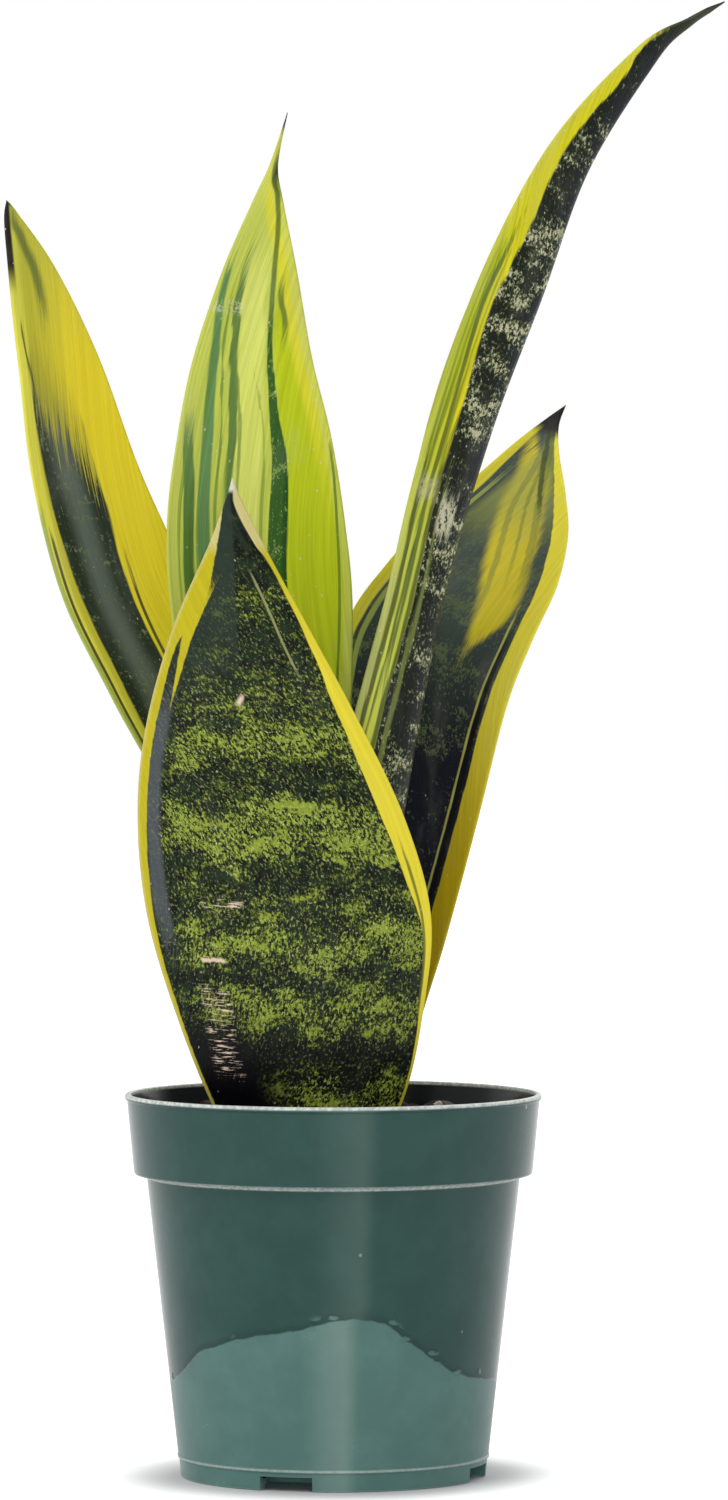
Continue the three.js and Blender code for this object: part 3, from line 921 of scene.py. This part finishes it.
left_coat, wax, leaf = leaf_coat("left_leaf_coat", 254.0, 2)
colour = mix(ramp(leaf["left"], 4, 20), paint(212, 202, 60), paint(238, 216, 44))
colour = mix(ramp(leaf["left"], 4.5, 2.0), colour, paint(246, 240, 92))
top_green = ramp(leaf["along"], 200, 246, 0.0, 0.5)
colour = mix(top_green, colour, paint(176, 182, 70))
for stripe in (
    # pale edge
    (leaf["left"], 1.0, -40, 168, 4, 0.2, 0.2, 1, (186, 198, 96)),
    # dark edge
    (("left", [(100, 1.5), (161, 1.9)]), 0.45, -40, 160, 3, 0.15, 0.15, 0.9, (44, 52, 34)),
    # green thread
    (("left", [(225, 9), (242, 5.0), (251, 2.2)]), 1.3, 222, 252, 8, 0.3, 0.9, 0.8, (88, 104, 52)),
    # left thread
    (("left", [(185, 4.6), (194, 4.6), (218, 1.9)]), 0.3, 186, 218, 3, 0.2, 0.15, 0.85, (52, 62, 40)),
    # right thread
    (("left", [(60, 19.5), (128, 21.0), (150, 22.0)]), 0.4, -40, 150, 6, 0.2, 0.15, 0.9, (50, 58, 36)),
):
    colour = striped(leaf, colour, *stripe)
heart_middle = beside(
    leaf, "left",
    [(0, 9.5), (60, 11.0), (107, 11.7), (129, 12.4), (150, 12.8), (170, 12.4), (200, 9.5), (216, 6.0)],
)
heart_width = drawn(
    leaf, [(0, 6.0), (60, 6.8), (107, 7.3), (129, 7.2), (150, 7.6), (170, 8.0), (200, 6.4), (216, 4.0)],
)
frayed = grain(leaf["place"], detail=3, roughness=0.7, stretch=(1.5, 0.03, 1))
frayed = scaled(frayed, 60.0, scaled(leaf["left"], 1.5, leaf["along"]))
halo = times(ramp(frayed, 258, 234), streak(leaf, heart_middle, heart_width, 150, 230, 7))
colour = tinted(colour, halo, 0.6, (142, 142, 62))
heart = streak(leaf, heart_middle, heart_width, -40, 230, 7, 0.6, 0.3)
heart = times(heart, ramp(frayed, 238, 229))
# The heart is dark grey-green at its sides and paler grey down its middle: a painted sheen.
hue = mix(ramp(calc("ABSOLUTE", heart_middle), 5.5, 0.5), paint(44, 54, 42), paint(98, 108, 100))
bands = use_group(leaf_banding, Place=leaf["place"], Strength=0.22)
hue = mix(bands["Mask"], hue, paint(112, 126, 84))
colour = mix(heart, colour, hue)
spike = times(ramp(leaf["left"], 2.0, 1.2), ramp(leaf["along"], 226, 236))
spike = most(spike, ramp(leaf["along"], 250.5, 252.5))
colour = mix(spike, colour, paint(40, 36, 30))
waxed(wax, leaf, colour, roughness=0.38, flecks=0.03)
left_leaf.data.materials.append(left_coat)

# ------------------------------------------------------------
# Middle leaf
# A lime green leaf with long bluish and dark stripes, gathered towards its tip into a hard spike. It
# stands upright behind the front leaf, from the middle of the rhizome.
# ------------------------------------------------------------
middle_leaf = blade(
    "middle_leaf",
    left=[
        (-12, 0, -28), (-22, 0, 15), (-28, 0, 49), (-36, -1, 93), (-42, -2, 132), (-43, -1, 155),
        (-40.5, 2, 177), (-36.5, 5, 197.5), (-29, 9, 220), (-21, 12, 238.5), (-16.5, 14, 248.5),
        (-12, 17, 262),
    ],
    right=[
        (-4, 0, -28), (-2, -1, 15), (1, -2, 49), (4, -4, 93), (5, -5, 132), (3, -4, 155),
        (-0.5, -1, 177), (-5.5, 2, 197.5), (-9.5, 6, 220), (-13, 10, 238), (-14.5, 13, 248.5),
        (-12, 17, 262),
    ],
    bow=[2, 4.5, 5.5, 6.5, 7, 6.5, 5.5, 4.5, 3, 1, 0.2, 0], fold=1.7, seed=3,
)
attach(middle_leaf, "root")
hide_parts("leaf_middle")

middle_coat, wax, leaf = leaf_coat("middle_leaf_coat", 265.0, 3)
crease = beside(
    leaf, "left",
    [
        (100, 29.0), (139, 29.5), (161, 29.8), (185, 24.6), (203, 19.4), (223, 13.9), (232, 10.9),
        (242, 6.3), (250, 2.5),
    ],
)
right_side = ramp(crease, -0.5, 2.5)
colour = mix(right_side, paint(204, 216, 90), paint(196, 210, 28))
sunny = times(ramp(leaf["right"], 6.5, 4.0), ramp(leaf["along"], 150, 190))
colour = tinted(colour, sunny, 0.8, (232, 224, 58))
edge_pale = most(ramp(leaf["left"], 4.5, 2.0), ramp(leaf["right"], 3.2, 1.5))
colour = tinted(colour, edge_pale, 0.7, (212, 220, 100))
for stripe in (
    # left pale
    (
        ("left", [(100, 20.5), (168, 20.0), (201, 15.0), (223, 9.0)]), 3.6, 90, 225, 8, 0.5, 0.8, 0.8,
        (232, 238, 118),
    ),
    # wide
    (
        ("left", [(100, 10.0), (153, 9.8), (175, 8.2), (197, 5.6), (223, 1.5)]),
        drawn(leaf, [(120, 1.7), (160, 1.6), (190, 1.3), (223, 0.8)], reach=4.0), -40, 224, 4, 0.25,
        0.35, 0.9, (88, 140, 88),
    ),
):
    colour = striped(leaf, colour, *stripe)
second = streak(leaf, ("left", [(100, 5.9), (142, 5.7), (161, 5.4), (180, 2.7)]), 1.45, -40, 181, 6, 0.4, 0.3)
green = mix(ramp(leaf["along"], 150, 175), paint(58, 110, 44), paint(84, 128, 70))
colour = mix(times(second, 0.9), colour, green)
colour = striped(
    leaf, colour, ("left", [(120, 14.0), (168, 15.3), (201, 10.1), (221, 6.0)]), 1.0, 150, 224, 8, 0.7,
    0.3, 0.85, (72, 116, 62),
)
for place, width, low, high, shade in (
    (3.0, 0.3, 100, 178, (132, 162, 56)),
    (7.7, 0.3, 120, 200, (108, 148, 66)),
    (12.2, 0.35, 140, 214, (92, 130, 58)),
    (17.6, 0.4, 140, 206, (120, 146, 62)),
    (24.6, 0.3, 100, 190, (134, 158, 60)),
):
    colour = striped(
        leaf, colour, ("left", [(100, place), (168, place), (224, place * 0.35)]), width, low, high, 8,
        0.5, 0.2, 0.7, shade,
    )
for stripe in (
    # short
    (("left", [(203, 23.3), (220, 17.5)]), 0.8, 204, 219, 5, 0.15, 0.4, 0.8, (84, 112, 46)),
    # crease line
    (crease, 0.7, 185, 250, 4, 0.12, 0.3, 0.85, (84, 110, 34)),
):
    colour = striped(leaf, colour, *stripe)
dark_width = drawn(leaf, [(100, 2.4), (150, 2.7), (168, 2.3), (184, 1.3), (196, 0.9), (208, 0.5)], reach=4.0)
dark = streak(leaf, crease, dark_width, -40, 208, 8, 0.35, 0.25)
hue = mix(ramp(crease, 0.5, 2.4), paint(58, 100, 38), paint(32, 76, 28))
bands = use_group(leaf_banding, Place=leaf["place"], Strength=0.3)
hue = mix(times(bands["Mask"], 0.7), hue, paint(150, 180, 92))
colour = mix(dark, colour, hue)
colour = striped(
    leaf, colour, ("right", [(60, 3.6), (135, 3.4), (156, 2.0), (172, 0.8)]), 0.4, -40, 174, 5, 0.15,
    0.15, 0.8, (88, 124, 28),
)
scuff = streak(leaf, ("left", [(205, 5.0), (219, 5.0)]), 4.4, 210.5, 213.5, 0.8, 0.6, 0.6)
scuff = times(scuff, ramp(grain(leaf["place"], 1.6, detail=3, roughness=0.7), 0.48, 0.58))
colour = tinted(colour, scuff, 0.7, (224, 226, 190))
spike = times(ramp(leaf["along"], 238, 250), ramp(crease, -1.5, 0.5))
spike = most(spike, ramp(leaf["along"], 258, 262))
colour = mix(spike, colour, paint(58, 64, 40))
waxed(wax, leaf, colour, roughness=0.36, flecks=0.16, veins=0.22)
middle_leaf.data.materials.append(middle_coat)

# ------------------------------------------------------------
# Tall leaf
# The longest leaf, folded into a deep channel that clasps the middle leaf at its base and arches
# out to the right. Its near flank is nearly black with a yellow band beside the edge.
# ------------------------------------------------------------
tall_leaf = blade(
    "tall_leaf",
    left=[
        (-8, 7, -28), (-9.5, 9, 16), (-1, 10, 78), (13.5, 8, 135), (24.5, 4, 181),
        (38, -1, 218.5), (55, -8, 250.5), (77.5, -17, 276), (91, -23, 283.5), (100, -26, 287.5),
    ],
    right=[
        (-8, -8, -28), (-9.5, -12, 16), (-1, -15, 78), (13.5, -18, 135), (24.5, -21, 181),
        (38, -24, 218.5), (55, -26, 250.5), (77.5, -27, 276), (91, -26.5, 283), (100, -26, 287.5),
    ],
    bow=[11, 16, 17, 13, 15, 15.5, 11, 5.5, 1, 0],
    fold=1.4,
    wave=0.2,
    seed=4,
)
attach(tall_leaf, "root")
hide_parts("leaf_tall_right")

tall_coat, wax, leaf = leaf_coat("tall_leaf_coat", 322.0, 4)
nearest = calc("MINIMUM", leaf["left"], leaf["right"])
leaf["near"] = nearest
strength = drawn(
    leaf,
    [
        (0, 0.2), (60, 0.4), (100, 0.55), (112, 0.35), (126, 0.6), (138, 0.35), (150, 0.65), (160, 0.4),
        (172, 0.3), (184, 0.35), (193, 0.85), (198, 0.35), (203, 0.85), (207, 0.35), (212, 0.9),
        (219, 0.3), (226, 0.9), (232, 0.35), (240, 0.85), (250, 0.35), (262, 0.5), (280, 0.25),
        (322, 0.0),
    ],
    reach=1.0, way="wavy",
)
bands = use_group(leaf_banding, Place=leaf["place"], Strength=strength)
# The leaf is painted lighter slate along the middle of its fold: a painted sheen where the keel rounds.
keel_sheen = ramp(calc("ABSOLUTE", less(leaf["left"], leaf["right"])), 12, 3)
colour = mix(times(keel_sheen, 0.5), paint(22, 30, 20), paint(40, 42, 56))
colour = tinted(colour, bands["Mask"], 0.85, (92, 106, 66))
colour = mix(bands["Bright"], colour, paint(214, 210, 172))
band_width = drawn(
    leaf,
    [
        (0, 7.5), (83, 7.5), (105, 7.4), (126, 7.4), (148, 7.6), (170, 7.6), (185, 7.4), (196, 7.2),
        (218, 6.2), (235, 6.7), (246, 6.3), (258, 5.0), (274, 3.8), (284, 3.8), (291, 2.6), (295, 1.0),
        (306, 0.4), (322, 0.0),
    ],
)
band = streak(leaf, nearest, band_width, -40, 304, 5, 0.7, 0.35)
yellow = mix(ramp(leaf["along"], 150, 195), paint(216, 224, 86), paint(198, 210, 42))
sunny = times(ramp(nearest, 3.0, 4.8), ramp(leaf["along"], 150, 185))
sunny = most(sunny, ramp(leaf["along"], 228, 246))
yellow = mix(sunny, yellow, paint(234, 226, 30))
yellow = mix(ramp(nearest, 2.2, 0.6, 0.0, 0.35), yellow, paint(206, 206, 110))
colour = mix(band, colour, yellow)
colour = striped(
    leaf, colour, ("near", [(150, 5.0), (201, 4.5), (218, 3.4), (235, 3.7), (262, 2.4)]), 0.6, 120, 238,
    8, 0.4, 0.3, 0.85, (84, 108, 42),
)
for place, width in ((1.7, 0.3), (3.0, 0.4), (6.0, 0.3)):
    colour = striped(
        leaf, colour, ("near", [(150, place * 1.1), (238, place * 0.8)]), width, 165, 232, 12, 0.4, 0.3,
        0.7, (120, 138, 34),
    )
colour = striped(leaf, colour, nearest, 1.5, -40, 150, 12, 0.3, 0.3, 0.7, (190, 196, 122))
for place, width, top, shade in (
    (2.4, 0.7, 176, (52, 66, 28)),
    (4.3, 0.35, 160, (84, 98, 44)),
    (7.2, 0.6, 182, (72, 88, 34)),
):
    colour = striped(
        leaf, colour, ("near", [(0, place * 0.8), (180, place)]), width, -40, top, 10, 0.5, 0.3, 0.85,
        shade,
    )
colour = striped(
    leaf, colour, ("near", [(60, 9.5), (140, 10.0), (175, 9.5)]), 0.7, 60, 168, 12, 0.9, 0.4, 0.7,
    (140, 150, 74),
)
bare = streak(leaf, ("near", [(150, 12.0), (172, 12.0)]), 2.6, 156, 167, 2.5, 1.0, 0.5)
rubbed = streak(leaf, ("near", [(160, 4.5), (176, 4.5)]), 2.8, 165, 171, 2.0, 1.0, 0.8)
bare = most(bare, times(rubbed, 0.5))
torn = grain(leaf["place"], detail=4, roughness=0.7, stretch=(0.9, 0.4, 1))
bare = times(bare, ramp(torn, 0.4, 0.5))
colour = tinted(colour, bare, 0.9, (222, 218, 186))
tip = ramp(leaf["along"], 300, 312)
colour = mix(tip, colour, paint(46, 54, 34))
waxed(wax, leaf, colour, roughness=0.36, flecks=0.09, veins=0.25)
tall_leaf.data.materials.append(tall_coat)

# ------------------------------------------------------------
# Back right leaf
# A broad leaf behind the others that leans right, navy to black inside with golden margins and a
# short thick spike. It grows from the rhizome's back end.
# ------------------------------------------------------------
back_leaf = blade(
    "back_leaf",
    left=[
        (1, 19, -29), (-1, 21, 14.5), (-3, 24, 47.5), (-2.5, 27, 80), (0.5, 32, 118), (5, 34, 132.5),
        (13.5, 36, 144), (24, 38, 155.5), (36, 41, 166), (48, 44, 176.5), (56.5, 46, 183),
        (61.5, 48, 186.5),
    ],
    right=[
        (11, 16, -29), (20, 15, 15), (29, 15, 46), (37, 16, 75), (45, 19, 106), (52, 21, 124),
        (58.5, 25, 138.5), (61.5, 30, 152), (61, 35, 163), (59.5, 40, 173.5), (59.5, 44, 181),
        (61.5, 48, 186.5),
    ],
    bow=[3, 5, 6, 6.5, 7, 7, 6, 5, 3.5, 1.5, 0.5, 0], fold=1.9, seed=5,
)
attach(back_leaf, "root")
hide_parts("leaf_right_back")

back_coat, wax, leaf = leaf_coat("back_leaf_coat", 201.5, 5)
strength = drawn(
    leaf,
    [
        (0, 0.0), (80, 0.15), (95, 0.1), (104, 0.6), (112, 0.2), (120, 0.55), (128, 0.25), (140, 0.65),
        (152, 0.5), (201, 0.2),
    ],
    reach=1.0, way="wavy",
)
bands = use_group(leaf_banding, Place=leaf["place"], Strength=strength)
colour = mix(ramp(leaf["along"], 90, 150), paint(30, 31, 46), paint(72, 84, 80))
colour = mix(bands["Mask"], colour, paint(94, 106, 78))
colour = striped(
    leaf, colour,
    ("right", [(125, 18.6), (129, 17.5), (137, 15.3), (152, 15.9), (168, 13.1), (182, 8.0)]),
    drawn(
        leaf,
        [(120, 0.3), (126, 0.8), (130, 2.5), (137, 5.2), (152, 6.6), (168, 6.5), (180, 4.5), (190, 1.0)],
    ),
    126, 188, 6, 0.9, 1.6, 1, (224, 206, 52),
)
olive = times(ramp(leaf["along"], 154, 172), ramp(leaf["left"], 6.0, 9.0))
colour = tinted(colour, olive, 0.6, (160, 166, 88))
for place, width, low, high, shade in (
    (11.0, 1.0, 146, 200, (112, 126, 60)),
    (15.5, 0.5, 150, 196, (104, 118, 62)),
    (20.5, 0.8, 138, 190, (116, 130, 76)),
):
    colour = striped(
        leaf, colour, ("right", [(120, place), (160, place * 0.9), (196, place * 0.12)]), width, low,
        high, 7, 0.5, 0.3, 0.5, shade,
    )
colour = striped(
    leaf, colour, ("right", [(168, 8.0), (195, 2.4)]), 0.7, 168, 196, 4, 0.5, 0.3, 0.8, (62, 74, 42),
)
margin_width = drawn(
    leaf,
    [
        (0, 5.0), (60, 6.3), (90, 6.3), (115, 6.0), (138, 5.6), (160, 4.6), (176, 2.8), (188, 1.0),
        (201, 0.2),
    ],
)
right_margin = streak(leaf, leaf["right"], margin_width, ragged=0.3, soft=0.2)
left_margin = streak(
    leaf, leaf["left"], drawn(leaf, [(0, 2.0), (100, 2.4), (170, 3.4), (201, 1.0)]), ragged=0.4,
    soft=0.3,
)
gold = mix(ramp(leaf["along"], 60, 130), paint(210, 182, 22), paint(255, 240, 76))
colour = mix(right_margin, colour, gold)
colour = mix(left_margin, colour, paint(228, 216, 64))
for stripe in (
    # left green
    (("left", [(100, 4.4), (170, 5.4)]), 0.7, -40, 176, 5, 0.4, 0.25, 0.85, (168, 180, 96)),
    # shadow line
    (("right", [(0, 6.6), (62, 8.0), (95, 8.2), (138, 7.4)]), 0.8, -40, 130, 8, 0.2, 0.3, 1, (18, 18, 22)),
    # pale line
    (
        ("right", [(0, 7.8), (62, 9.4), (95, 9.4), (138, 8.4)]), 0.35, 30, 139, 4, 0.15, 0.15, 1,
        (190, 188, 104),
    ),
):
    colour = striped(leaf, colour, *stripe)
spike = ramp(leaf["along"], 189, 193)
colour = mix(spike, colour, paint(40, 38, 34))
waxed(wax, leaf, colour, roughness=0.38, flecks=0.04)
back_leaf.data.materials.append(back_coat)

# ------------------------------------------------------------
# Studio
# A white sweep under soft lights: a large one above and in front to the left, and pale surfaces
# behind and to the sides that edge the glossy pot.
# ------------------------------------------------------------
floor_data = bpy.data.meshes.new("floor")
floor_half = 6.0
floor_data.from_pydata(
    [
        (-floor_half, -floor_half, 0), (floor_half, -floor_half, 0), (floor_half, floor_half, 0),
        (-floor_half, floor_half, 0),
    ],
    [], [(0, 1, 2, 3)],
)
floor = placed("floor", floor_data)
floor_paint, place, floor_finish = new_material("floor_paint")
tree = floor_paint.node_tree
cloud = grain(place, 3, detail=2)
join(mix(cloud, paint(216, 216, 216), paint(220, 220, 220)), floor_finish.inputs["Base Color"])
floor_finish.inputs["Roughness"].default_value = 0.9
# The floor glows, brightly where the camera sees it and faintly in the light it casts. Its glow fades out
# towards the pot's foot, which paints a soft shadow ring round the pot.
floor_finish.inputs["Emission Color"].default_value = (1, 1, 1, 1)
far = node("ShaderNodeVectorMath", {0: place}, operation="LENGTH").outputs["Value"]
seen = node("ShaderNodeLightPath", tree=tree).outputs["Is Camera Ray"]
floor_glow_seen = ramp(far, 0.041, 0.064, 0.0, 0.6)
floor_glow_cast = ramp(far, 0.06, 0.34, 0.12, 0.3)
join(mix(seen, floor_glow_cast, floor_glow_seen), floor_finish.inputs["Emission Strength"])
see_through = node("ShaderNodeBsdfTransparent", tree=tree)
below = node("ShaderNodeNewGeometry", tree=tree).outputs["Backfacing"]
either = node("ShaderNodeMixShader", {0: below, 1: floor_finish.outputs[0], 2: see_through.outputs[0]})
join(either.outputs[0], tree.nodes["Material Output"].inputs["Surface"])
floor.location.z = -0.0001
floor.data.materials.append(floor_paint)

world = bpy.data.worlds.new("studio")
bpy.context.scene.world = world
world.use_nodes = True
tree = world.node_tree
air = tree.nodes["Background"]
shown = node("ShaderNodeLightPath", tree=tree).outputs["Is Camera Ray"]
heading = node("ShaderNodeTexCoord", tree=tree).outputs["Generated"]
parts = node("ShaderNodeSeparateXYZ", {"Vector": heading}).outputs
on_right = ramp(parts["X"], -0.05, 0.05)
rear_left = ramp(parts["Y"], 0.1, 0.35, 0.0, 0.6)
rear_left = less(rear_left, ramp(parts["Y"], 0.5, 0.95, 0.0, 1.05))
rear_right = ramp(parts["Y"], 0.44, 0.6)
rear = scaled(less(rear_right, rear_left), on_right, rear_left)
above = ramp(parts["Z"], 0.0, 0.95)
shade = times(ramp(parts["X"], 0.3, 0.7), ramp(parts["Y"], 0.5, 0.3))
front = scaled(shade, -0.38, 0.5)
strip = calc("ABSOLUTE", scaled(parts["Y"], 0.17, parts["X"]))
strip = times(ramp(strip, 0.09, 0.03), ramp(parts["Y"], -0.6, -0.8))
front = scaled(strip, 1.6, front)
glow = scaled(rear, 0.7, scaled(above, 0.25, front))
brightness = mix(shown, glow, (1.0, 1.0, 1.0, 1.0))
join(brightness, air.inputs["Color"])
air.inputs["Strength"].default_value = 1.0


def soft_light(name, size, power, place):
    """A round lamp of a size in metres that faces the leaves' foot."""
    leaves_foot = Vector((0, 0, 0.15))
    lamp = bpy.data.lights.new(name, "AREA")
    lamp.shape = "DISK"
    lamp.size = size
    lamp.energy = power
    made = placed(name, lamp)
    made.location = place
    made.rotation_euler = (leaves_foot - Vector(place)).to_track_quat("-Z", "Y").to_euler()


soft_light("key", size=1.1, power=12.5, place=(-1.0, -1.2, 1.9))
soft_light("fill", size=0.9, power=2.5, place=(1.3, -1.2, 1.0))
soft_light("back", size=0.8, power=6, place=(0.6, 1.4, 1.4))

# ------------------------------------------------------------
# Camera
# A long lens a couple of metres in front, a little above the leaves' middle.
# ------------------------------------------------------------
lens = bpy.data.cameras.new("camera")
lens.lens = 180
lens.sensor_width = 36
camera = placed("camera", lens)
camera.location = (0.00795, -1.9425, 0.2307)
aim = Vector((0.00795, 0, 0.188)) - camera.location
camera.rotation_euler = aim.to_track_quat("-Z", "Y").to_euler()
bpy.context.scene.camera = camera
bpy.context.scene.view_settings.view_transform = "Standard"
